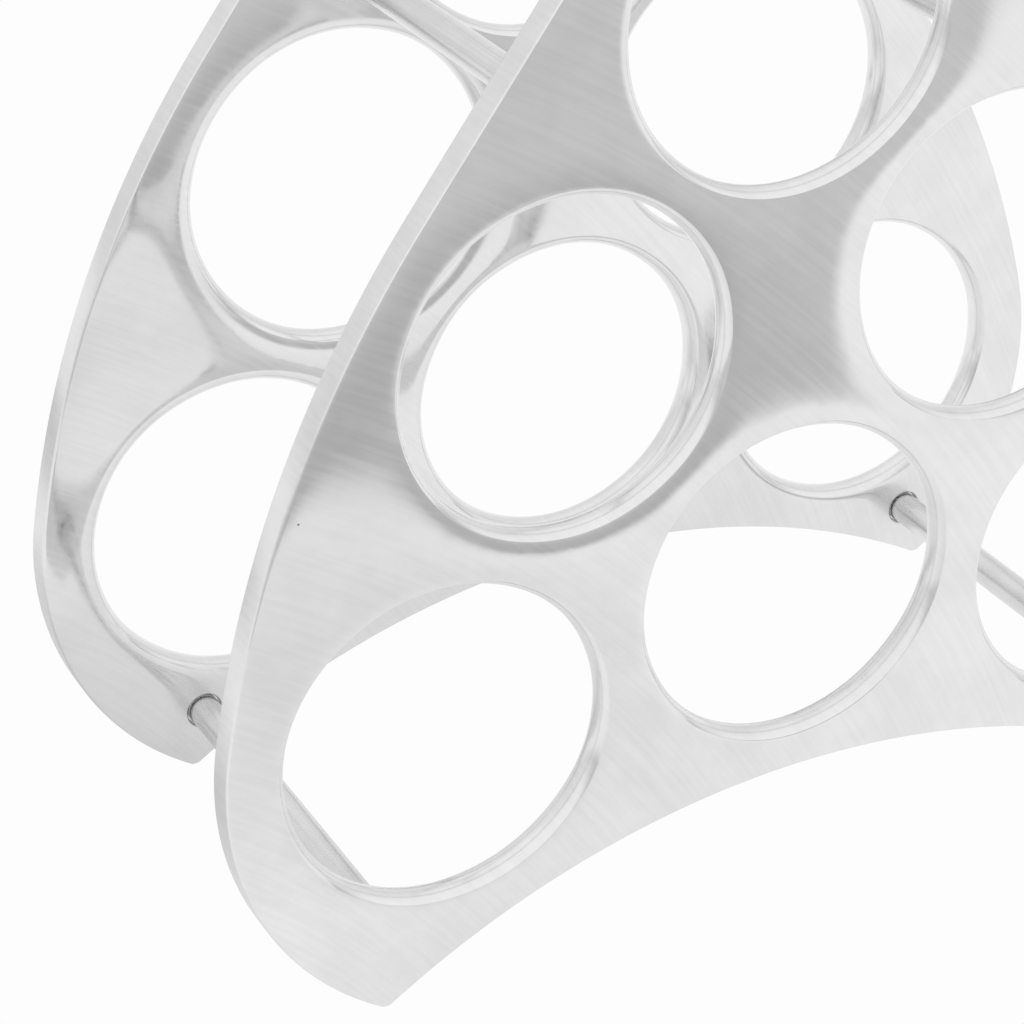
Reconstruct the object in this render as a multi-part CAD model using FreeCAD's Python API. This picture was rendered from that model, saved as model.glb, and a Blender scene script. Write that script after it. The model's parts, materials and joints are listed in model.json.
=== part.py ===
import FreeCAD, Part
import math
import os

# Six-bottle wine rack: two pierced metal plates stand parallel and are joined by four round tie rods.
# Units are millimetres. X runs across the rack, Y from its front to its rear and Z is up.
# The origin is on the floor, midway between the plates and midway between the feet.

# The plates
plate_thickness = 9.3
rack_depth = 144.0
outer_edge_radius = 1.0
hole_edge_radius = 1.0

# The bottle holes: three in a shallow arch at the bottom, two above them and one at the top
hole_radius = 45.0
lower_hole_x = 102.7
lower_hole_z = 73.9
middle_hole_z = 91.2
second_row_x = 64.5
second_row_z = 170.2
top_hole_z = 248.2

# The outline: each side is a shoulder arc, a long side arc and a straight run up to the rounded top
widest_x = 163.6
widest_z = 70.5
shoulder_radius = 84.5
side_radius = 300.0
side_start_angle = math.radians(11.1)
side_end_angle = math.radians(38.7)
foot_corner_radius = 1.5
arch_radius = 238.0
arch_top_z = 34.7

# The tie rods, whose ends stand in round seats sunk into the inner faces of the plates
rod_radius = 4.7
rod_end_chamfer = 0.6
lower_rod_x = 120.3
lower_rod_z = 17.2
upper_rod_x = 58.3
upper_rod_z = 232.2
seat_radius = 5.3
seat_depth = 2.0

# The M5 studs and screws that hold the rods
thread_radius = 2.5
thread_clearance = 0.03
stud_depth_in_plate = 4.8
stud_depth_in_rod = 12.0
hole_tip_gap = 0.5
screw_length = 20.0
screw_head_radius = 4.6
screw_head_recess = 0.2
screw_head_clearance = 0.05
screw_hole_radius = 2.75
socket_sides = 6
socket_across_flats = 3.0
socket_depth = 1.9

# Lengths closer than this count as the same when edges are picked out
same_length = 0.001

front_face_y = -rack_depth / 2.0
front_inner_y = front_face_y + plate_thickness
front_seat_y = front_inner_y - seat_depth
rear_seat_y = -front_seat_y
rear_inner_y = -front_inner_y
rear_face_y = -front_face_y
screw_head_y = rear_face_y - screw_head_recess
screw_tip_y = screw_head_y - screw_length
thread_hole_radius = thread_radius + thread_clearance
y_axis = FreeCAD.Vector(0, 1, 0)

hole_centres = [
    (-lower_hole_x, lower_hole_z),
    (0.0, middle_hole_z),
    (lower_hole_x, lower_hole_z),
    (-second_row_x, second_row_z),
    (second_row_x, second_row_z),
    (0.0, top_hole_z),
]

rod_centres = {
    "tie_rod_lower_left": (-lower_rod_x, lower_rod_z),
    "tie_rod_lower_right": (lower_rod_x, lower_rod_z),
    "tie_rod_upper_left": (-upper_rod_x, upper_rod_z),
    "tie_rod_upper_right": (upper_rod_x, upper_rod_z),
}


def point(x, z, y=0.0):
    return FreeCAD.Vector(x, y, z)


def on_circle(centre_x, centre_z, radius, angle):
    return (centre_x + radius * math.cos(angle), centre_z + radius * math.sin(angle))


def cylinder_y(x, z, radius, y_start, y_end):
    return Part.makeCylinder(radius, y_end - y_start, point(x, z, y_start), y_axis)


def half_outline():
    # The left half from the middle of the arch to the top, as (start, point on the arc, end) or (start, end).
    shoulder_x = -widest_x + shoulder_radius
    arch_centre_z = arch_top_z - arch_radius
    # The two small arcs at the foot touch the floor line and the neighbouring large arc.
    outer_reach = math.sqrt(
        (shoulder_radius - foot_corner_radius) ** 2 - (widest_z - foot_corner_radius) ** 2
    )
    outer_corner_x = shoulder_x - outer_reach
    inner_reach = math.sqrt(
        (arch_radius + foot_corner_radius) ** 2 - (foot_corner_radius - arch_centre_z) ** 2
    )
    inner_corner_x = -inner_reach
    arch_end_angle = math.atan2(foot_corner_radius - arch_centre_z, inner_corner_x)
    shoulder_low_angle = math.atan2(foot_corner_radius - widest_z, outer_corner_x - shoulder_x)
    arch_middle_angle = (math.pi / 2.0 + arch_end_angle) / 2.0

    arch_start = (0.0, arch_top_z)
    arch_end = on_circle(0.0, arch_centre_z, arch_radius, arch_end_angle)
    arch_middle = on_circle(0.0, arch_centre_z, arch_radius, arch_middle_angle)
    inner_turn = (arch_end_angle - math.pi - math.pi / 2.0) / 2.0
    inner_middle = on_circle(inner_corner_x, foot_corner_radius, foot_corner_radius, inner_turn)
    flat_inner = (inner_corner_x, 0.0)
    flat_outer = (outer_corner_x, 0.0)
    outer_turn = (shoulder_low_angle - math.pi / 2.0) / 2.0
    outer_middle = on_circle(outer_corner_x, foot_corner_radius, foot_corner_radius, outer_turn)
    shoulder_low = on_circle(shoulder_x, widest_z, shoulder_radius, shoulder_low_angle)
    shoulder_middle = on_circle(shoulder_x, widest_z, shoulder_radius, math.pi)
    shoulder_high_angle = math.pi - side_start_angle
    shoulder_high = on_circle(shoulder_x, widest_z, shoulder_radius, shoulder_high_angle)

    # The long side arc continues the shoulder, so its centre is on the same radius, further in.
    side_x = shoulder_high[0] + side_radius * math.cos(side_start_angle)
    side_z = shoulder_high[1] - side_radius * math.sin(side_start_angle)
    side_middle_angle = math.pi - (side_start_angle + side_end_angle) / 2.0
    side_middle = on_circle(side_x, side_z, side_radius, side_middle_angle)
    side_high = on_circle(side_x, side_z, side_radius, math.pi - side_end_angle)

    # The top arc is centred on the top hole, and the straight run touches it.
    normal = (-math.cos(side_end_angle), math.sin(side_end_angle))
    top_radius = side_high[0] * normal[0] + (side_high[1] - top_hole_z) * normal[1]
    top_start = (top_radius * normal[0], top_hole_z + top_radius * normal[1])
    top_middle_angle = (math.pi - side_end_angle + math.pi / 2.0) / 2.0
    top_middle = on_circle(0.0, top_hole_z, top_radius, top_middle_angle)
    top_end = (0.0, top_hole_z + top_radius)

    return [
        (arch_start, arch_middle, arch_end),
        (arch_end, inner_middle, flat_inner),
        (flat_inner, flat_outer),
        (flat_outer, outer_middle, shoulder_low),
        (shoulder_low, shoulder_middle, shoulder_high),
        (shoulder_high, side_middle, side_high),
        (side_high, top_start),
        (top_start, top_middle, top_end),
    ]


def outline_edge(points, mirror):
    vectors = [point(mirror * x, z) for x, z in points]
    if len(vectors) == 2:
        return Part.makeLine(vectors[0], vectors[1])
    return Part.Arc(vectors[0], vectors[1], vectors[2]).toShape()


def plate_blank():
    left_half = half_outline()
    edges = [outline_edge(points, 1.0) for points in left_half]
    edges += [outline_edge(points, -1.0) for points in left_half]
    outline = Part.Wire(Part.__sortEdges__(edges))
    return Part.Face(outline).extrude(y_axis * plate_thickness)


def lies_across_y(edge):
    # True for an edge that lies wholly at one Y, such as one round a face of a plate or the end of a rod.
    return edge.BoundBox.YLength < same_length


def pierced_plate():
    plate = plate_blank()
    outer_edges = [edge for edge in plate.Edges if lies_across_y(edge)]
    plate = plate.makeFillet(outer_edge_radius, outer_edges)
    for x, z in hole_centres:
        plate = plate.cut(cylinder_y(x, z, hole_radius, -plate_thickness, 2.0 * plate_thickness))
    hole_edges = []
    for edge in plate.Edges:
        curve = edge.Curve
        if isinstance(curve, Part.Circle) and abs(curve.Radius - hole_radius) < same_length:
            hole_edges.append(edge)
    return plate.makeFillet(hole_edge_radius, hole_edges)


def front_plate():
    plate = pierced_plate()
    plate.translate(point(0.0, 0.0, front_face_y))
    stud_hole_end = front_seat_y - stud_depth_in_plate - hole_tip_gap
    for x, z in rod_centres.values():
        plate = plate.cut(cylinder_y(x, z, seat_radius, front_seat_y, front_inner_y))
        plate = plate.cut(cylinder_y(x, z, thread_hole_radius, stud_hole_end, front_seat_y))
    return plate


def screw_cone(x, z, growth):
    # A 90 degree countersink or head, with its wide end on the recessed head plane.
    wide = screw_head_radius + growth
    narrow = thread_radius
    return Part.makeCone(wide, narrow, wide - narrow, point(x, z, screw_head_y), -y_axis)


def rear_plate():
    plate = pierced_plate()
    plate.translate(point(0.0, 0.0, rear_inner_y))
    mouth_radius = screw_head_radius + screw_head_clearance
    for x, z in rod_centres.values():
        plate = plate.cut(cylinder_y(x, z, seat_radius, rear_inner_y, rear_seat_y))
        plate = plate.cut(cylinder_y(x, z, screw_hole_radius, rear_seat_y, rear_face_y))
        plate = plate.cut(screw_cone(x, z, screw_head_clearance))
        plate = plate.cut(cylinder_y(x, z, mouth_radius, screw_head_y, rear_face_y))
    return plate


def tie_rod(x, z):
    rod = cylinder_y(x, z, rod_radius, front_seat_y, rear_seat_y)
    end_edges = [edge for edge in rod.Edges if lies_across_y(edge)]
    rod = rod.makeChamfer(rod_end_chamfer, end_edges)
    front_bore_end = front_seat_y + stud_depth_in_rod + hole_tip_gap
    rear_bore_end = screw_tip_y - hole_tip_gap
    rod = rod.cut(cylinder_y(x, z, thread_hole_radius, front_seat_y, front_bore_end))
    return rod.cut(cylinder_y(x, z, thread_hole_radius, rear_bore_end, rear_seat_y))


def front_studs():
    start = front_seat_y - stud_depth_in_plate
    end = front_seat_y + stud_depth_in_rod
    studs = [cylinder_y(x, z, thread_radius, start, end) for x, z in rod_centres.values()]
    return Part.makeCompound(studs)


def hexagon_socket(x, z):
    side_angle = 2.0 * math.pi / socket_sides
    corner_radius = socket_across_flats / 2.0 / math.cos(side_angle / 2.0)
    corners = []
    for index in range(socket_sides):
        corner = on_circle(x, z, corner_radius, side_angle * index)
        corners.append(point(corner[0], corner[1], screw_head_y))
    corners.append(corners[0])
    return Part.Face(Part.makePolygon(corners)).extrude(y_axis * -socket_depth)


def rear_screws():
    screws = []
    for x, z in rod_centres.values():
        shank = cylinder_y(x, z, thread_radius, screw_tip_y, screw_head_y)
        screw = shank.fuse(screw_cone(x, z, 0.0)).removeSplitter()
        screws.append(screw.cut(hexagon_socket(x, z)))
    return Part.makeCompound(screws)


def main():
    os.makedirs("parts", exist_ok=True)
    nodes = {
        "front_plate": front_plate(),
        "rear_plate": rear_plate(),
        "front_studs": front_studs(),
        "rear_screws": rear_screws(),
    }
    for name, (x, z) in rod_centres.items():
        nodes[name] = tie_rod(x, z)
    for name, shape in nodes.items():
        shape.exportStep("parts/" + name + ".step")


main()
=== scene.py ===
import json
import math

import bmesh
import bpy
from mathutils import Matrix, Vector, kdtree, noise
from mathutils.geometry import delaunay_2d_cdt


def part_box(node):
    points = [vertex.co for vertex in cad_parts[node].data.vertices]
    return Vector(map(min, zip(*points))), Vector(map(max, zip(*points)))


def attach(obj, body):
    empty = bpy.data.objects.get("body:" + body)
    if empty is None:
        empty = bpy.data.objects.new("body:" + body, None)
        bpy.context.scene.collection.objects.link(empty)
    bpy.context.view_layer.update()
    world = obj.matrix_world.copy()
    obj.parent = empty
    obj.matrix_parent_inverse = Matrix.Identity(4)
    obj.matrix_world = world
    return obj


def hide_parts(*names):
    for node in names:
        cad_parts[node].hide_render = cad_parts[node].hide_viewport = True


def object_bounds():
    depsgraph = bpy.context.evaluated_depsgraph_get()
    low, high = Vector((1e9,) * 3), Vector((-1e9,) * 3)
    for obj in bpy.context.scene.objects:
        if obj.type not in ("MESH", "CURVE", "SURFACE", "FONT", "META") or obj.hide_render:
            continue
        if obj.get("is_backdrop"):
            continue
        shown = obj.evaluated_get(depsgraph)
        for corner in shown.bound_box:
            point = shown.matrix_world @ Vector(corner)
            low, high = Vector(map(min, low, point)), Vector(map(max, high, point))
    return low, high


MM = 0.001

# The outline of a plate, in millimetres, as in the CAD model.
WIDEST_X = 163.6
WIDEST_Z = 70.5
SHOULDER_RADIUS = 84.5
SIDE_RADIUS = 300.0
SIDE_START = math.radians(11.1)
SIDE_END = math.radians(38.7)
FOOT_RADIUS = 1.5
ARCH_RADIUS = 238.0
ARCH_TOP_Z = 34.7

# How many samples each stretch of the left half of the outline has.
ARCH_STEPS = 80
FOOT_STEPS = 9
SHOULDER_STEPS = 64
SIDE_STEPS = 84
STRAIGHT_STEPS = 50
TOP_STEPS = 40

# Hand polishing has crowned the walls, left a soft crease where they meet the faces, and made the
# faces fall away a little towards every rim. Each rim is (crown angle, crease radius, depth of the
# fall, reach of the fall). HOLE_RADIUS is taken at the crest of a hole's wall, CREST is half the
# crest's width, and OUTER_CROWN is the radius of the crown along the outline. Past FALL_CUTOFF times
# its reach, a hole's fall is too small to count.
HOLE_RADIUS = 44.3
OUTER_RIM = (math.radians(55), 0.4, 0.20, 3.0)
OUTER_CROWN = 0.9
LOWER_RIM = (math.radians(56), 0.3, 0.35, 1.3)
UPPER_RIM = (math.radians(58), 0.3, 0.65, 4.4)
CREST = 0.3
CROWN_STEPS = 7
CREASE_STEPS = 3
FALL_CUTOFF = 10

# Slow unevenness: of the rims' crowning, of the bottle holes' radius and of the faces.
RIM_VARIATION = 0.06
RIM_VARIATION_LENGTH = 30.0
RIM_SEED = 7.0
SIDE_SEED = 3.0
HOLE_WANDER = 0.3
HOLE_WANDER_TURN = 1.6
HOLE_WANDER_LENGTH = 20.0
WAVE_DEPTH = 0.05
WAVE_LENGTH = 45.0

# The meshes: rings beside each rim, which draw closer together at the feet, and a grid of points between.
RIM_RINGS = (0.5, 1.2, 2.1, 3.1)
FOOT_X = 124.7
FOOT_SPREAD = 5.0
FOOT_SQUEEZE = 0.82
HOLE_SAMPLES = 192
SMALL_HOLE_SAMPLES = 48
GRID_STEP = 2.6
GRID_CLEARANCE = 0.55 * GRID_STEP
RING_CLEARANCE = 0.8
SAME_POINT = 0.000001
SHARP_ANGLE = math.radians(32)
# A triangle whose height is under this share of its longest side only joins points in one line.
SLIVER_SHARE = 0.00001

# Seats and fixings, in millimetres, as in the CAD model. The lip and the dip round a seat are extra.
SEAT_RADIUS = 5.3
SEAT_DEPTH = 2.0
SEAT_LIP = 0.3
SEAT_DIP = 0.22
SEAT_DIP_REACH = 2.2
STUD_HOLE_RADIUS = 2.53
STUD_HOLE_DEPTH = 5.3
SCREW_HOLE_RADIUS = 2.75
SCREW_MOUTH_RADIUS = 4.65
SCREW_RECESS = 0.2
ROD_CHAMFER = 0.6
ROD_FRONT_BORE = 12.5
ROD_REAR_BORE = 13.4

# The rods' meshes: rings along a rod, samples round it, the rounding of its chamfer as shares of the
# chamfer, and shallow dents along it.
ROD_RINGS = 60
ROD_SAMPLES = 96
CHAMFER_IN = 0.35
CHAMFER_ALONG = 0.3
DENT_DEPTH = 0.012
DENT_LENGTH = 14.0

PLATE_THICKNESS = 9.3
RODS = ("lower_left", "lower_right", "upper_left", "upper_right")

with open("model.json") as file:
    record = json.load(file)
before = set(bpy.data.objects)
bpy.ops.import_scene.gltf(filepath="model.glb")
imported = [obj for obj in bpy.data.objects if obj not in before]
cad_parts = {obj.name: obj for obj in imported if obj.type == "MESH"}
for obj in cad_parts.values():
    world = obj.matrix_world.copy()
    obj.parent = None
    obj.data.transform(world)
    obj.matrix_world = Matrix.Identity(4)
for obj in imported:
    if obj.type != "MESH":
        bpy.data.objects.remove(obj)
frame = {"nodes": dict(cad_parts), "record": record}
cad_low, cad_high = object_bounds()


def bottle_holes():
    """(x, z, rim) of every bottle hole, in millimetres, from the openings in the record."""
    found = []
    for opening in frame["record"]["physics"]["openings"]:
        if opening["name"].endswith("_square"):
            low, high = opening["box_m"]
            rim = LOWER_RIM if "lower" in opening["name"] else UPPER_RIM
            found.append(((low[0] + high[0]) / 2 / MM, (low[2] + high[2]) / 2 / MM, rim))
    return found


def rod_centres():
    found = []
    for name in RODS:
        low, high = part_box("tie_rod_" + name)
        found.append(((low.x + high.x) / 2 / MM, (low.z + high.z) / 2 / MM))
    return found


HOLES = bottle_holes()
ROD_AXES = rod_centres()
TOP_HOLE_Z = max(z for x, z, rim in HOLES)


def arc(centre_x, centre_z, radius, start, end, steps, side):
    """Samples (x, z, nx, nz) along an arc, without its last point. side is 1 with the metal outside it."""
    out = []
    for i in range(steps):
        angle = start + (end - start) * i / steps
        c, s = math.cos(angle), math.sin(angle)
        out.append((centre_x + radius * c, centre_z + radius * s, side * c, side * s))
    return out


def outline_samples():
    """Points round the plate with the unit normal that points into the metal, in millimetres."""
    shoulder_x = -WIDEST_X + SHOULDER_RADIUS
    arch_z = ARCH_TOP_Z - ARCH_RADIUS
    outer_reach = math.sqrt((SHOULDER_RADIUS - FOOT_RADIUS) ** 2 - (WIDEST_Z - FOOT_RADIUS) ** 2)
    outer_x = shoulder_x - outer_reach
    inner_x = -math.sqrt((ARCH_RADIUS + FOOT_RADIUS) ** 2 - (FOOT_RADIUS - arch_z) ** 2)
    arch_end = math.atan2(FOOT_RADIUS - arch_z, inner_x)
    shoulder_low = math.atan2(FOOT_RADIUS - WIDEST_Z, outer_x - shoulder_x)
    side_gap = SIDE_RADIUS - SHOULDER_RADIUS
    side_x = shoulder_x + side_gap * math.cos(SIDE_START)
    side_z = WIDEST_Z - side_gap * math.sin(SIDE_START)
    side_high = (side_x - SIDE_RADIUS * math.cos(SIDE_END), side_z + SIDE_RADIUS * math.sin(SIDE_END))
    normal = (-math.cos(SIDE_END), math.sin(SIDE_END))
    top_radius = side_high[0] * normal[0] + (side_high[1] - TOP_HOLE_Z) * normal[1]
    top_start = (top_radius * normal[0], TOP_HOLE_Z + top_radius * normal[1])

    left = arc(0, arch_z, ARCH_RADIUS, math.pi / 2, arch_end, ARCH_STEPS, 1)
    left += arc(inner_x, FOOT_RADIUS, FOOT_RADIUS, arch_end - math.pi, -math.pi / 2, FOOT_STEPS, -1)
    left += [(inner_x, 0.0, 0.0, 1.0)]
    left += arc(outer_x, FOOT_RADIUS, FOOT_RADIUS, -math.pi / 2, shoulder_low, FOOT_STEPS, -1)
    shoulder_high = -math.pi - SIDE_START
    left += arc(shoulder_x, WIDEST_Z, SHOULDER_RADIUS, shoulder_low, shoulder_high, SHOULDER_STEPS, -1)
    left += arc(side_x, side_z, SIDE_RADIUS, math.pi - SIDE_START, math.pi - SIDE_END, SIDE_STEPS, -1)
    for i in range(STRAIGHT_STEPS):
        t = i / STRAIGHT_STEPS
        x = side_high[0] + (top_start[0] - side_high[0]) * t
        z = side_high[1] + (top_start[1] - side_high[1]) * t
        left.append((x, z, -normal[0], -normal[1]))
    left += arc(0, TOP_HOLE_Z, top_radius, math.pi - SIDE_END, math.pi / 2, TOP_STEPS, -1)
    top = (0.0, TOP_HOLE_Z + top_radius, 0.0, -1.0)
    right = [(-x, z, -nx, nz) for x, z, nx, nz in reversed(left[1:])]
    return left + [top] + right


def circle_samples(x, z, radius, count):
    return arc(x, z, radius, 0.0, 2 * math.pi, count, 1)


OUTLINE = outline_samples()
OUTLINE_TREE = kdtree.KDTree(len(OUTLINE))
for index, sample in enumerate(OUTLINE):
    OUTLINE_TREE.insert((sample[0], 0.0, sample[1]), index)
OUTLINE_TREE.balance()


def outline_distance(x, z):
    near, index, distance = OUTLINE_TREE.find((x, 0.0, z))
    sx, sz, nx, nz = OUTLINE[index]
    return max(0.0, (x - sx) * nx + (z - sz) * nz)


def crown_radius(rim):
    """The radius that lets a hole's crowned wall just meet both faces."""
    angle, crease, depth, reach = rim
    end = math.pi / 2 - math.atan(depth / reach)
    crease_height = crease * (math.sin(end) - math.sin(angle))
    return (PLATE_THICKNESS / 2 - depth - crease_height - CREST) / math.sin(angle)


def rim_profile(rim, crown):
    """(inset, height above the crown's foot) from the wall over the crown and the crease."""
    angle, crease, depth, reach = rim
    end = math.pi / 2 - math.atan(depth / reach)
    out = []
    for step in range(CROWN_STEPS + 1):
        tilt = angle * step / CROWN_STEPS
        out.append((crown * (1 - math.cos(tilt)), crown * math.sin(tilt)))
    base_inset, base_height = out[-1]
    for step in range(1, CREASE_STEPS + 1):
        tilt = angle + (end - angle) * step / CREASE_STEPS
        inset = base_inset + crease * (math.cos(angle) - math.cos(tilt))
        out.append((inset, base_height + crease * (math.sin(tilt) - math.sin(angle))))
    return out


def rim_width(rim, crown):
    """How far a rim reaches in from the wall to the crease's end."""
    return rim_profile(rim, crown)[-1][0]


def fall(x, z, seed, inner):
    """How far the polished face lies below its highest plane, in millimetres."""
    depth, reach = OUTER_RIM[2:]
    total = depth * math.exp(-max(outline_distance(x, z) - OUTER_WIDTH, 0.0) / reach)
    for hx, hz, rim in HOLES:
        depth, reach = rim[2:]
        gap = math.hypot(x - hx, z - hz) - HOLE_RADIUS - HOLE_WIDTH[rim]
        if gap < FALL_CUTOFF * reach:
            total += depth * math.exp(-max(gap, 0.0) / reach)
    if inner:
        for rx, rz in ROD_AXES:
            gap = math.hypot(x - rx, z - rz) - SEAT_RADIUS
            if gap < FALL_CUTOFF * SEAT_DIP_REACH:
                total += SEAT_DIP * math.exp(-max(gap, 0.0) / SEAT_DIP_REACH)
    wave = noise.noise(Vector((x / WAVE_LENGTH, z / WAVE_LENGTH, seed)))
    return total + WAVE_DEPTH * (0.5 + 0.5 * wave)


OUTER_WIDTH = rim_width(OUTER_RIM, OUTER_CROWN)
HOLE_WIDTH = {rim: rim_width(rim, crown_radius(rim)) for rim in (LOWER_RIM, UPPER_RIM)}


def rim_scale(x, z, seed):
    """The rims' crowning, which the polisher's hand made a little uneven."""
    place = Vector((x / RIM_VARIATION_LENGTH, z / RIM_VARIATION_LENGTH, seed + RIM_SEED))
    return 1.0 + RIM_VARIATION * noise.noise(place)


def hole_samples(x, z, seed):
    """A bottle hole's outline, a little out of round."""
    out = []
    for px, pz, nx, nz in circle_samples(x, z, 1.0, HOLE_SAMPLES):
        across = nx * HOLE_WANDER_TURN + x / HOLE_WANDER_LENGTH
        upward = nz * HOLE_WANDER_TURN + z / HOLE_WANDER_LENGTH
        radius = HOLE_RADIUS + HOLE_WANDER * noise.noise(Vector((across, upward, seed)))
        out.append((x + nx * radius, z + nz * radius, nx, nz))
    return out


class Plate:
    """Builds one pierced plate as a closed mesh. Lengths are in millimetres until the end."""

    def __init__(self, front_y, rear_y, seed, rear):
        self.faces_y = (front_y, rear_y)
        self.into = (1.0, -1.0)
        self.seed = seed
        self.rear = rear
        self.inner_side = 0 if rear else 1
        self.points = []
        self.faces = []
        self.last_rings = ([], [])

    def add(self, x, y, z):
        self.points.append((x, y, z))
        return len(self.points) - 1

    def height(self, x, z, side, extra=0.0):
        """The y of one face at (x, z), or of a point that lies deeper by extra."""
        depth = fall(x, z, self.seed + side, side == self.inner_side) + extra
        return self.faces_y[side] + self.into[side] * depth

    def bridge(self, ring_a, ring_b):
        count = len(ring_a)
        for i in range(count):
            j = (i + 1) % count
            self.faces.append((ring_a[i], ring_a[j], ring_b[j], ring_b[i]))

    def rim_rings(self, samples, rim, crown, side):
        """Rings from the wall over the rim and a little way across one face."""
        columns = []
        for x, z, nx, nz in samples:
            profile = rim_profile(rim, crown * rim_scale(x, z, self.seed + side * SIDE_SEED))
            width, top = profile[-1]
            edge_x, edge_z = x + nx * width, z + nz * width
            column = []
            for inset, height in profile:
                y = self.height(edge_x, edge_z, side, top - height)
                column.append(self.add(x + nx * inset, y, z + nz * inset))
            near_foot = math.exp(-((abs(x) - FOOT_X) ** 2 + z**2) / FOOT_SPREAD**2)
            for extra in RIM_RINGS:
                reach = width + extra * (1.0 - FOOT_SQUEEZE * near_foot)
                px, pz = x + nx * reach, z + nz * reach
                column.append(self.add(px, self.height(px, pz, side), pz))
            columns.append(column)
        rings = [list(ring) for ring in zip(*columns)]
        for a, b in zip(rings, rings[1:]):
            self.bridge(a, b)
        self.last_rings[side].append(rings[-1])
        return rings[0]

    def opening(self, samples, rim, crown):
        front = self.rim_rings(samples, rim, crown, 0)
        rear = self.rim_rings(samples, rim, crown, 1)
        self.bridge(front, rear)

    def mouth(self, x, z, radius, side):
        """A small round mouth, which lies in the polished face."""
        ring = []
        for px, pz, nx, nz in circle_samples(x, z, radius, SMALL_HOLE_SAMPLES):
            ring.append(self.add(px, self.height(px, pz, side), pz))
        self.last_rings[side].append(ring)
        return ring

    def level_ring(self, x, z, radius, side, depth):
        y = self.faces_y[side] + self.into[side] * depth
        samples = circle_samples(x, z, radius, SMALL_HOLE_SAMPLES)
        return [self.add(px, y, pz) for px, pz, nx, nz in samples]

    def join_rings(self, rings):
        for a, b in zip(rings, rings[1:]):
            self.bridge(a, b)

    def seat(self, x, z, bore_radius):
        """The sunk round seat of one rod. Returns its rings, down to the mouth of the bore."""
        side = self.inner_side
        mouth_radius = SEAT_RADIUS + SEAT_LIP
        lip_depth = fall(x + mouth_radius, z, self.seed + side, True) + SEAT_LIP
        return [
            self.mouth(x, z, mouth_radius, side),
            self.level_ring(x, z, SEAT_RADIUS, side, lip_depth),
            self.level_ring(x, z, SEAT_RADIUS, side, SEAT_DEPTH),
            self.level_ring(x, z, bore_radius, side, SEAT_DEPTH),
        ]

    def stud_seat(self, x, z):
        rings = self.seat(x, z, STUD_HOLE_RADIUS)
        bottom = self.level_ring(x, z, STUD_HOLE_RADIUS, self.inner_side, SEAT_DEPTH + STUD_HOLE_DEPTH)
        self.join_rings(rings + [bottom])
        self.faces.append(tuple(bottom))

    def screw_seat(self, x, z):
        outer = 1 - self.inner_side
        sunk = SCREW_RECESS + fall(x, z, self.seed + outer, False)
        cone_depth = sunk + SCREW_MOUTH_RADIUS - SCREW_HOLE_RADIUS
        rings = self.seat(x, z, SCREW_HOLE_RADIUS)
        rings.append(self.level_ring(x, z, SCREW_HOLE_RADIUS, outer, cone_depth))
        rings.append(self.level_ring(x, z, SCREW_MOUTH_RADIUS, outer, sunk))
        rings.append(self.mouth(x, z, SCREW_MOUTH_RADIUS + SCREW_RECESS, outer))
        self.join_rings(rings)

    def fill_face(self, side):
        """Triangulates one face between the last rings, with inner points that carry its curve."""
        rings = self.last_rings[side]
        flat, index_of, ring_of, edges = [], [], [], []
        tree = kdtree.KDTree(sum(len(ring) for ring in rings))
        for number, ring in enumerate(rings):
            start = len(flat)
            for k, index in enumerate(ring):
                x, y, z = self.points[index]
                tree.insert((x, 0.0, z), len(flat))
                flat.append(Vector((x, z)))
                index_of.append(index)
                ring_of.append(number)
                edges.append((start + k, start + (k + 1) % len(ring)))
        tree.balance()
        row_step = GRID_STEP * math.sqrt(3) / 2
        rows = int((cad_high.z / MM) / row_step) + 1
        columns = int((cad_high.x - cad_low.x) / MM / GRID_STEP) + 1
        for row in range(rows):
            z = row * row_step
            for column in range(columns):
                x = cad_low.x / MM + (column + 0.5 * (row % 2)) * GRID_STEP
                if not self.in_metal(x, z, side):
                    continue
                near, k, distance = tree.find((x, 0.0, z))
                if distance < GRID_CLEARANCE:
                    continue
                index_of.append(self.add(x, self.height(x, z, side), z))
                ring_of.append(None)
                flat.append(Vector((x, z)))
        triangles, original = delaunay_2d_cdt(flat, edges, [], 0, SAME_POINT)[2:4]
        for triangle in triangles:
            corners = [original[k][0] for k in triangle]
            a, b, c = (flat[k] for k in corners)
            longest = max((b - a).length, (c - b).length, (a - c).length)
            if abs((b - a).cross(c - a)) < SLIVER_SHARE * longest**2:
                continue
            owners = {ring_of[k] for k in corners}
            if len(owners) == 1 and None not in owners:
                # All three corners are on one ring, so the triangle may lie across an opening.
                owner = owners.pop()
                loop = [(self.points[k][0], self.points[k][2]) for k in rings[owner]]
                middle = (a + b + c) / 3
                if inside(loop, middle.x, middle.y) != (owner == 0):
                    continue
            self.faces.append(tuple(index_of[k] for k in corners))

    def in_metal(self, x, z, side):
        if outline_distance(x, z) < OUTER_WIDTH:
            return False
        outer_loop = self.last_rings[side][0]
        if not inside([(self.points[k][0], self.points[k][2]) for k in outer_loop], x, z):
            return False
        for hx, hz, rim in HOLES:
            if math.hypot(x - hx, z - hz) < HOLE_RADIUS + HOLE_WIDTH[rim] + RIM_RINGS[-1] + RING_CLEARANCE:
                return False
        if side == self.inner_side:
            small = SEAT_RADIUS + SEAT_LIP
        else:
            small = SCREW_MOUTH_RADIUS + SCREW_RECESS if self.rear else 0.0
        for hx, hz in ROD_AXES:
            if math.hypot(x - hx, z - hz) < small + RING_CLEARANCE:
                return False
        return True

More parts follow.
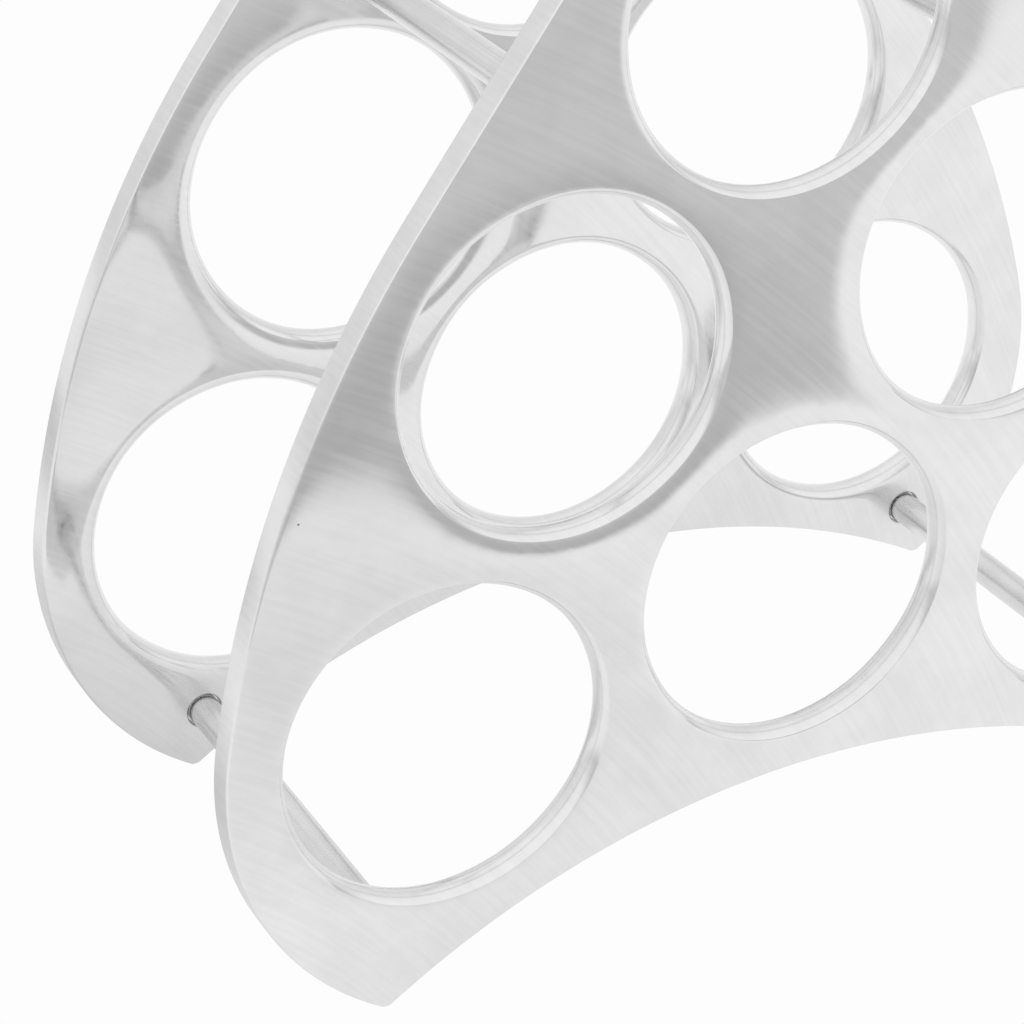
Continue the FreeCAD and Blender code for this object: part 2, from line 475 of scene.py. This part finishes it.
    def build(self, name):
        self.opening(OUTLINE, OUTER_RIM, OUTER_CROWN)
        for number, (x, z, rim) in enumerate(HOLES):
            self.opening(hole_samples(x, z, self.seed + number), rim, crown_radius(rim))
        for x, z in ROD_AXES:
            if self.rear:
                self.screw_seat(x, z)
            else:
                self.stud_seat(x, z)
        self.fill_face(0)
        self.fill_face(1)
        return mesh_object(name, self.points, self.faces)


def inside(polygon, x, z):
    """Even-odd test for a point in a closed polygon of (x, z) pairs."""
    found = False
    ax, az = polygon[-1]
    for bx, bz in polygon:
        if (az > z) != (bz > z) and x < (bx - ax) * (z - az) / (bz - az) + ax:
            found = not found
        ax, az = bx, bz
    return found


def mesh_object(name, points, faces):
    """A closed, smooth-shaded mesh object in metres, with its hard edges marked sharp."""
    mesh = bpy.data.meshes.new(name)
    mesh.from_pydata([(x * MM, y * MM, z * MM) for x, y, z in points], [], faces)
    work = bmesh.new()
    work.from_mesh(mesh)
    loose = [v for v in work.verts if not v.link_faces]
    bmesh.ops.delete(work, geom=loose, context="VERTS")
    bmesh.ops.recalc_face_normals(work, faces=work.faces)
    for face in work.faces:
        face.smooth = True
    for edge in work.edges:
        if len(edge.link_faces) == 2 and edge.calc_face_angle() > SHARP_ANGLE:
            edge.smooth = False
    work.to_mesh(mesh)
    work.free()
    mesh.update()
    piece = bpy.data.objects.new(name, mesh)
    bpy.context.scene.collection.objects.link(piece)
    return piece


def lathe(name, centre_x, centre_z, profile, count):
    """A turned piece about an axis along Y. profile holds (radius, y); its ends are closed with a disc."""
    points, faces, rings = [], [], []
    for radius, y in profile:
        ring = []
        for px, pz, nx, nz in circle_samples(centre_x, centre_z, radius, count):
            points.append((px, y, pz))
            ring.append(len(points) - 1)
        rings.append(ring)
    for a, b in zip(rings, rings[1:]):
        for i in range(count):
            j = (i + 1) % count
            faces.append((a[i], a[j], b[j], b[i]))
    faces.append(tuple(rings[0]))
    faces.append(tuple(rings[-1]))
    return mesh_object(name, points, faces)


def tie_rod(name, cad_name):
    low, high = (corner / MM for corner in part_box(cad_name))
    x, z = (low.x + high.x) / 2, (low.z + high.z) / 2
    radius = (high.x - low.x) / 2
    profile = [
        (STUD_HOLE_RADIUS, low.y + ROD_FRONT_BORE),
        (STUD_HOLE_RADIUS, low.y),
        (radius - ROD_CHAMFER, low.y),
        (radius - ROD_CHAMFER * CHAMFER_IN, low.y + ROD_CHAMFER * CHAMFER_ALONG),
        (radius, low.y + ROD_CHAMFER),
    ]
    for i in range(1, ROD_RINGS):
        y = low.y + (high.y - low.y) * i / ROD_RINGS
        dent = DENT_DEPTH * (0.5 + 0.5 * noise.noise(Vector((x, y / DENT_LENGTH, z))))
        profile.append((radius - dent, y))
    profile += [
        (radius, high.y - ROD_CHAMFER),
        (radius - ROD_CHAMFER * CHAMFER_IN, high.y - ROD_CHAMFER * CHAMFER_ALONG),
        (radius - ROD_CHAMFER, high.y),
        (STUD_HOLE_RADIUS, high.y),
        (STUD_HOLE_RADIUS, high.y - ROD_REAR_BORE),
    ]
    return lathe(name, x, z, profile, ROD_SAMPLES)


# --- Materials ---------------------------------------------------------------------------------

# Places and lengths are in metres, and scales in repeats per metre unless a comment says otherwise.
# A pair is the range of a noise or a length over which a value changes.

# The buffing marks run along arcs about a point low down beside the plate. Their scale is along the
# radius, round the arc in repeats per radian, and through the plate.
BUFF_CENTRE = (-0.30, -0.12)
BUFF_SCALE = (700.0, 9.0, 60.0)
CLOUD_SCALE = 42.0
PATCH_SCALE = 9.0
SWELL_SCALE = 45.0

# Round the seats the wheel couldn't reach, so the metal is duller there. DULL_DEPTH is a distance from
# the middle of the rack along Y, which leaves out the outer faces.
DULL_REACH = (0.0065, 0.017)
DULL_DEPTH = (0.0640, 0.0660)
DULL_ROUGHNESS = 0.22

# A wall is told from a face by how far its normal turns away from Y.
WALL_FACING = (0.60, 0.93)
WALL_ROUGHNESS = 0.13

# Pinholes of the casting: their size is in cells, and only cells above the pick have one.
PINHOLE_SCALE = 45.0
PINHOLE_SIZE = (0.010, 0.022)
PINHOLE_PICK = 0.72
PINHOLE_COLOUR = (0.12, 0.12, 0.12, 1.0)

CASTING_DARK = (0.765, 0.765, 0.765, 1.0)
CASTING_PALE = (0.835, 0.835, 0.835, 1.0)
ROD_LINE_SCALE = (1800.0, 14.0, 1800.0)
ROD_CLOUD_SCALE = 60.0
ROD_DARK = (0.70, 0.70, 0.70, 1.0)
ROD_PALE = (0.80, 0.80, 0.80, 1.0)
STEEL_GRAIN_SCALE = 900.0
STEEL_DARK = (0.50, 0.50, 0.51, 1.0)
STEEL_PALE = (0.66, 0.66, 0.67, 1.0)


def new_material(name):
    material = bpy.data.materials.new(name)
    material.use_nodes = True
    tree = material.node_tree
    tree.nodes.clear()
    output = tree.nodes.new("ShaderNodeOutputMaterial")
    return material, tree, output


def new_metal(name):
    """A bare metal material. Returns it with its node tree, its shader and the place on the object."""
    material, tree, output = new_material(name)
    shader = node(tree, "ShaderNodeBsdfPrincipled")
    shader.inputs["Metallic"].default_value = 1.0
    tree.links.new(shader.outputs["BSDF"], output.inputs["Surface"])
    place = node(tree, "ShaderNodeTexCoord").outputs["Object"]
    return material, tree, shader, place


def node(tree, kind, **values):
    made = tree.nodes.new(kind)
    for key, value in values.items():
        setattr(made, key, value)
    return made


def ramp(tree, source, low, high, low_value, high_value):
    """Maps source from low..high to low_value..high_value, held at both ends."""
    mapped = node(tree, "ShaderNodeMapRange")
    mapped.clamp = True
    mapped.interpolation_type = "SMOOTHSTEP"
    mapped.inputs["From Min"].default_value = low
    mapped.inputs["From Max"].default_value = high
    mapped.inputs["To Min"].default_value = low_value
    mapped.inputs["To Max"].default_value = high_value
    tree.links.new(source, mapped.inputs["Value"])
    return mapped.outputs["Result"]


def noise_value(tree, vector, scale, detail, roughness=0.5):
    texture = node(tree, "ShaderNodeTexNoise")
    texture.inputs["Scale"].default_value = scale
    texture.inputs["Detail"].default_value = detail
    texture.inputs["Roughness"].default_value = roughness
    tree.links.new(vector, texture.inputs["Vector"])
    return texture.outputs["Fac"]


def set_or_link(tree, socket, value):
    """Sets a number or colour on a socket, or links it where value is another node's output."""
    if isinstance(value, (int, float, tuple)):
        socket.default_value = value
    else:
        tree.links.new(value, socket)


def math_value(tree, operation, a, b=0.0):
    made = node(tree, "ShaderNodeMath", operation=operation)
    set_or_link(tree, made.inputs[0], a)
    set_or_link(tree, made.inputs[1], b)
    return made.outputs[0]


def sum_of_squares(tree, a, b):
    return math_value(tree, "ADD", math_value(tree, "MULTIPLY", a, a), math_value(tree, "MULTIPLY", b, b))


def mix(tree, data_type, factor, a, b):
    """Mixes two numbers (FLOAT) or two colours (RGBA)."""
    made = node(tree, "ShaderNodeMix", data_type=data_type)
    for name, value in (("Factor", factor), ("A", a), ("B", b)):
        set_or_link(tree, made.inputs[name], value)
    return made.outputs["Result"]


def bump(tree, height, strength, distance):
    made = node(tree, "ShaderNodeBump")
    made.inputs["Strength"].default_value = strength
    made.inputs["Distance"].default_value = distance
    tree.links.new(height, made.inputs["Height"])
    return made


def buffing_marks(tree, x, y, z):
    off_x = math_value(tree, "SUBTRACT", x, BUFF_CENTRE[0])
    off_z = math_value(tree, "SUBTRACT", z, BUFF_CENTRE[1])
    length = math_value(tree, "SQRT", sum_of_squares(tree, off_x, off_z))
    angle = math_value(tree, "ARCTAN2", off_z, off_x)
    polar = node(tree, "ShaderNodeCombineXYZ")
    for value, scale, socket in zip((length, angle, y), BUFF_SCALE, polar.inputs):
        tree.links.new(math_value(tree, "MULTIPLY", value, scale), socket)
    return noise_value(tree, polar.outputs[0], 1.0, 3.0, 0.6)


def dull_mask(tree, x, y, z):
    """1 on the inner faces close to the rods' seats and 0 elsewhere."""
    beside = math_value(tree, "ABSOLUTE", x)
    total = 0.0
    for rod_x, rod_z in ROD_AXES:
        if rod_x < 0:
            continue
        gap_x = math_value(tree, "SUBTRACT", beside, rod_x * MM)
        gap_z = math_value(tree, "SUBTRACT", z, rod_z * MM)
        gap = math_value(tree, "SQRT", sum_of_squares(tree, gap_x, gap_z))
        total = math_value(tree, "ADD", total, ramp(tree, gap, *DULL_REACH, 1.0, 0.0))
    depth = math_value(tree, "ABSOLUTE", y)
    return math_value(tree, "MULTIPLY", total, ramp(tree, depth, *DULL_DEPTH, 1.0, 0.0))


def wall_mask(tree):
    """1 on the walls of the holes and of the outline and 0 on the faces."""
    facing = node(tree, "ShaderNodeSeparateXYZ")
    tree.links.new(node(tree, "ShaderNodeTexCoord").outputs["Normal"], facing.inputs[0])
    flatness = math_value(tree, "ABSOLUTE", facing.outputs["Y"])
    return ramp(tree, flatness, *WALL_FACING, 1.0, 0.0)


def pinhole_mask(tree, place):
    cells = node(tree, "ShaderNodeTexVoronoi")
    cells.inputs["Scale"].default_value = PINHOLE_SCALE
    tree.links.new(place, cells.inputs["Vector"])
    chosen = node(tree, "ShaderNodeSeparateColor")
    tree.links.new(cells.outputs["Color"], chosen.inputs[0])
    pick = math_value(tree, "GREATER_THAN", chosen.outputs["Red"], PINHOLE_PICK)
    spot = ramp(tree, cells.outputs["Distance"], *PINHOLE_SIZE, 1.0, 0.0)
    return math_value(tree, "MULTIPLY", spot, pick)


def polished_casting():
    """Hand-polished cast metal: soft cloudiness, faint curved buffing marks and a few pinholes."""
    material, tree, shader, place = new_metal("polished_casting")
    parts = node(tree, "ShaderNodeSeparateXYZ")
    tree.links.new(place, parts.inputs[0])
    x, y, z = parts.outputs
    marks = buffing_marks(tree, x, y, z)
    cloud = noise_value(tree, place, CLOUD_SCALE, 4.0, 0.6)
    patches = noise_value(tree, place, PATCH_SCALE, 2.0)

    cloud_tone = ramp(tree, cloud, 0.34, 0.66, 0.0, 0.6)
    tone = math_value(tree, "ADD", cloud_tone, ramp(tree, marks, 0.34, 0.66, 0.0, 0.4))
    colour = mix(tree, "RGBA", tone, CASTING_DARK, CASTING_PALE)
    pitted = mix(tree, "RGBA", pinhole_mask(tree, place), colour, PINHOLE_COLOUR)
    tree.links.new(pitted, shader.inputs["Base Color"])

    # The walls are filed and brushed rather than mirror-like, and so is the dull metal by the seats.
    rough = ramp(tree, marks, 0.35, 0.75, 0.06, 0.10)
    rough = math_value(tree, "ADD", rough, ramp(tree, patches, 0.35, 0.7, 0.0, 0.04))
    dull = math_value(tree, "MULTIPLY", dull_mask(tree, x, y, z), DULL_ROUGHNESS)
    rough = math_value(tree, "ADD", rough, dull)
    wall = math_value(tree, "MULTIPLY", wall_mask(tree), WALL_ROUGHNESS)
    rough = math_value(tree, "ADD", rough, wall)
    tree.links.new(rough, shader.inputs["Roughness"])

    scratch = bump(tree, marks, 0.05, 0.00003)
    swell = bump(tree, noise_value(tree, place, SWELL_SCALE, 1.0), 0.1, 0.0002)
    tree.links.new(scratch.outputs["Normal"], swell.inputs["Normal"])
    tree.links.new(swell.outputs["Normal"], shader.inputs["Normal"])
    return material


def polished_rod():
    """Drawn bar, polished: fine lines that run along Y."""
    material, tree, shader, place = new_metal("polished_rod")
    stretch = node(tree, "ShaderNodeMapping")
    stretch.inputs["Scale"].default_value = ROD_LINE_SCALE
    tree.links.new(place, stretch.inputs["Vector"])
    lines = noise_value(tree, stretch.outputs["Vector"], 1.0, 2.0)
    cloud = noise_value(tree, place, ROD_CLOUD_SCALE, 2.0)
    cloud_tone = ramp(tree, cloud, 0.3, 0.7, 0.0, 0.5)
    tone = math_value(tree, "ADD", cloud_tone, ramp(tree, lines, 0.3, 0.7, 0.0, 0.5))
    tree.links.new(mix(tree, "RGBA", tone, ROD_DARK, ROD_PALE), shader.inputs["Base Color"])
    tree.links.new(ramp(tree, lines, 0.3, 0.7, 0.20, 0.32), shader.inputs["Roughness"])
    tree.links.new(bump(tree, lines, 0.12, 0.0001).outputs["Normal"], shader.inputs["Normal"])
    return material


def steel_fixing():
    """Plain turned steel for the studs and screws."""
    material, tree, shader, place = new_metal("steel_fixing")
    grain = noise_value(tree, place, STEEL_GRAIN_SCALE, 3.0)
    tree.links.new(mix(tree, "RGBA", grain, STEEL_DARK, STEEL_PALE), shader.inputs["Base Color"])
    tree.links.new(ramp(tree, grain, 0.3, 0.7, 0.22, 0.38), shader.inputs["Roughness"])
    tree.links.new(bump(tree, grain, 0.2, 0.0001).outputs["Normal"], shader.inputs["Normal"])
    return material


# --- The rack ----------------------------------------------------------------------------------

casting = polished_casting()
rod_metal = polished_rod()
fixing_metal = steel_fixing()

for cad_name, seed, is_rear in (("front_plate", 1.0, False), ("rear_plate", 21.0, True)):
    low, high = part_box(cad_name)
    plate = Plate(low.y / MM, high.y / MM, seed, is_rear).build("polished_" + cad_name)
    plate.data.materials.append(casting)
    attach(plate, "root")
    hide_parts(cad_name)

for rod_name in RODS:
    rod = tie_rod("polished_rod_" + rod_name, "tie_rod_" + rod_name)
    rod.data.materials.append(rod_metal)
    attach(rod, "root")
    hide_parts("tie_rod_" + rod_name)

for cad_name in ("front_studs", "rear_screws"):
    fixing = frame["nodes"][cad_name]
    fixing.data.materials.clear()
    fixing.data.materials.append(fixing_metal)

# --- Floor, light and camera ---------------------------------------------------------------------

# Brightness of the floor and of the background, as seen directly, and how far the floor goes each way.
PALE = 0.982
STAGE_REACH = 4.0

# Painted shade on the floor, which only the metal sees: darker patches painted into the floor's glow
# to stand in for the shade round the rack. Each is its centre and its stretch, the two radii between
# which it fades out, and its tone: under the rack, in front of it on the left, beside its rear left foot,
# far behind it on the left, and close in front of it.
PAINTED_FLOOR_SHADES = (
    ((-0.10, 0.02, 0.0), (0.45, 1.0, 1.0), 0.03, 0.15, 0.86),
    ((-0.16, -0.34, 0.0), (1.0, 1.0, 1.0), 0.05, 0.26, 0.90),
    ((-0.21, 0.13, 0.0), (1.0, 0.7, 1.0), 0.02, 0.16, 0.74),
    ((-0.40, 0.52, 0.0), (1.0, 1.0, 1.0), 0.06, 0.27, 0.62),
    ((-0.04, -0.20, 0.0), (1.0, 1.0, 1.0), 0.04, 0.15, 0.92),
)

# The dim part of the studio in front of the rack: where its card begins and how high it lies, its two
# soft edges, each with a point on it in metres, the direction into the dim part and the width of the
# blur, and its tone at one corner and further off.
CARD_NEAR = -0.22
CARD_LIFT = 0.0005
CARD_EDGES = (
    ((-0.014, -0.350), (0.22, -0.975), 0.045),
    ((0.175, -0.300), (-0.810, -0.590), 0.036),
)
DIM_NEAR = 0.50
DIM_FAR = 0.65
DIM_CORNER = (0.0, -0.36, 0.0)
DIM_REACH = 0.29

# The light from all round, by direction: its brightness low down and high up, and the ranges of a
# direction's x, y or z over which it changes.
HORIZON_LEFT = 0.78
HORIZON_RIGHT = 0.96
HORIZON_FRONT = 0.58
SKY_FRONT = 1.02
SKY_BEHIND = 0.87
OVERHEAD = 1.0
LEFT_TO_RIGHT = (-0.6, 0.5)
FRONT_TO_BEHIND = (-0.45, 0.15)
HORIZON_TO_SKY = (-0.02, 0.33)
SKY_TO_OVERHEAD = (0.45, 0.85)

# The camera's place is measured from the middle of the front plate's face, level with its lower holes.
CAMERA_AZIMUTH = math.radians(-25.33)
CAMERA_ELEVATION = math.radians(28.59)
CAMERA_ROLL = math.radians(-2.72)
CAMERA_PLACE = (-0.3891, -0.6489, 0.45326)
CAMERA_LENS = 116.345
CAMERA_SENSOR = 36.0
CAMERA_CLIP = (0.01, 20.0)


def stage_plane(name, between_y, height):
    """A wide level plane between two values of y, as a stage object."""
    near, far = between_y
    corners = [
        (-STAGE_REACH, near, height),
        (STAGE_REACH, near, height),
        (STAGE_REACH, far, height),
        (-STAGE_REACH, far, height),
    ]
    mesh = bpy.data.meshes.new(name)
    mesh.from_pydata(corners, [], [(0, 1, 2, 3)])
    made = bpy.data.objects.new(name, mesh)
    bpy.context.scene.collection.objects.link(made)
    made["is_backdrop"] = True
    return made


def vector_value(tree, operation, a, b):
    made = node(tree, "ShaderNodeVectorMath", operation=operation)
    tree.links.new(a, made.inputs[0])
    made.inputs[1].default_value = b
    return made


def distance_from(tree, place, point, scale=(1.0, 1.0, 1.0)):
    offset = vector_value(tree, "SUBTRACT", place, point).outputs[0]
    stretched = vector_value(tree, "MULTIPLY", offset, scale).outputs[0]
    length = node(tree, "ShaderNodeVectorMath", operation="LENGTH")
    tree.links.new(stretched, length.inputs[0])
    return length.outputs["Value"]


def floor_tone_with_painted_shade(tree, place):
    """The pale floor as the metal sees it, with its painted shade: patches darkened in its glow, which no
    lamp casts.
    """
    tone = PALE
    for centre, stretch, inner, outer, darkest in PAINTED_FLOOR_SHADES:
        # Each patch multiplies painted shade into the floor's glow.
        shade = ramp(tree, distance_from(tree, place, centre, stretch), inner, outer, darkest, 1.0)
        tone = math_value(tree, "MULTIPLY", tone, shade)
    return tone


def white_glow(tree, output, strength):
    glow = node(tree, "ShaderNodeEmission")
    glow.inputs["Color"].default_value = (1, 1, 1, 1)
    tree.links.new(strength, glow.inputs["Strength"])
    tree.links.new(glow.outputs[0], output.inputs["Surface"])


def add_floor():
    floor = stage_plane("pale_floor", (-STAGE_REACH, STAGE_REACH), 0.0)
    material, tree, output = new_material("pale_floor")
    place = node(tree, "ShaderNodeTexCoord").outputs["Object"]
    seen = node(tree, "ShaderNodeLightPath").outputs["Is Camera Ray"]
    # The camera sees the floor evenly pale; the metal sees it with its painted shade.
    white_glow(tree, output, mix(tree, "FLOAT", seen, floor_tone_with_painted_shade(tree, place), PALE))
    floor.data.materials.append(material)


def add_surround_card():
    """The dim part of the studio in front of the rack. Only reflections see it."""
    card = stage_plane("surround_card", (-STAGE_REACH, CARD_NEAR), CARD_LIFT)
    card.visible_camera = False
    card.visible_shadow = False
    material, tree, output = new_material("surround_card")
    place = node(tree, "ShaderNodeTexCoord").outputs["Object"]
    mask = 1.0
    for edge_point, edge_normal, blur in CARD_EDGES:
        offset = vector_value(tree, "SUBTRACT", place, (*edge_point, 0.0)).outputs[0]
        inward = Vector((*edge_normal, 0.0)).normalized()
        depth = vector_value(tree, "DOT_PRODUCT", offset, inward).outputs["Value"]
        mask = math_value(tree, "MULTIPLY", mask, ramp(tree, depth, -blur / 2, blur / 2, 0.0, 1.0))
    dim = ramp(tree, distance_from(tree, place, DIM_CORNER), 0.0, DIM_REACH, DIM_NEAR, DIM_FAR)
    # Outside its dim part the card shows the floor with its painted shade.
    white_glow(tree, output, mix(tree, "FLOAT", mask, floor_tone_with_painted_shade(tree, place), dim))
    card.data.materials.append(material)


def add_world():
    """Soft light from all round: dim low down in front, paler behind and to the right, bright above."""
    world = bpy.data.worlds.new("studio")
    bpy.context.scene.world = world
    world.use_nodes = True
    tree = world.node_tree
    tree.nodes.clear()
    output = node(tree, "ShaderNodeOutputWorld")
    parts = node(tree, "ShaderNodeSeparateXYZ")
    tree.links.new(node(tree, "ShaderNodeTexCoord").outputs["Generated"], parts.inputs[0])
    x, y, z = parts.outputs
    sides = ramp(tree, x, *LEFT_TO_RIGHT, HORIZON_LEFT, HORIZON_RIGHT)
    behind = ramp(tree, y, *FRONT_TO_BEHIND, 0.0, 1.0)
    horizon = mix(tree, "FLOAT", behind, HORIZON_FRONT, sides)
    above = ramp(tree, z, *HORIZON_TO_SKY, 0.0, 1.0)
    high = ramp(tree, z, *SKY_TO_OVERHEAD, SKY_BEHIND, OVERHEAD)
    sky = mix(tree, "FLOAT", behind, SKY_FRONT, high)
    around = mix(tree, "FLOAT", above, horizon, sky)
    seen = node(tree, "ShaderNodeLightPath").outputs["Is Camera Ray"]
    light = node(tree, "ShaderNodeBackground")
    light.inputs["Color"].default_value = (1, 1, 1, 1)
    tree.links.new(mix(tree, "FLOAT", seen, around, PALE), light.inputs["Strength"])
    tree.links.new(light.outputs[0], output.inputs["Surface"])


def add_camera():
    az, el, roll = CAMERA_AZIMUTH, CAMERA_ELEVATION, CAMERA_ROLL
    back = Vector((math.sin(az) * math.cos(el), -math.cos(az) * math.cos(el), math.sin(el)))
    right = Vector((math.cos(az), math.sin(az), 0))
    up = back.cross(right)
    turned_right = right * math.cos(roll) + up * math.sin(roll)
    turned_up = up * math.cos(roll) - right * math.sin(roll)
    data = bpy.data.cameras.new("camera")
    data.sensor_width = CAMERA_SENSOR
    data.lens = CAMERA_LENS
    data.clip_start, data.clip_end = CAMERA_CLIP
    camera = bpy.data.objects.new("camera", data)
    bpy.context.scene.collection.objects.link(camera)
    plate_low, plate_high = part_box("front_plate")
    lower_hole_z = min(z for x, z, rim in HOLES) * MM
    place = Vector(CAMERA_PLACE) + Vector((0, plate_low.y, lower_hole_z))
    rotation = Matrix((turned_right, turned_up, back)).transposed().to_4x4()
    camera.matrix_world = Matrix.Translation(place) @ rotation
    bpy.context.scene.camera = camera


add_floor()
add_surround_card()
add_world()
add_camera()
bpy.context.scene.view_settings.view_transform = "Standard"
bpy.context.scene.view_settings.look = "None"

low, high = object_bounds()
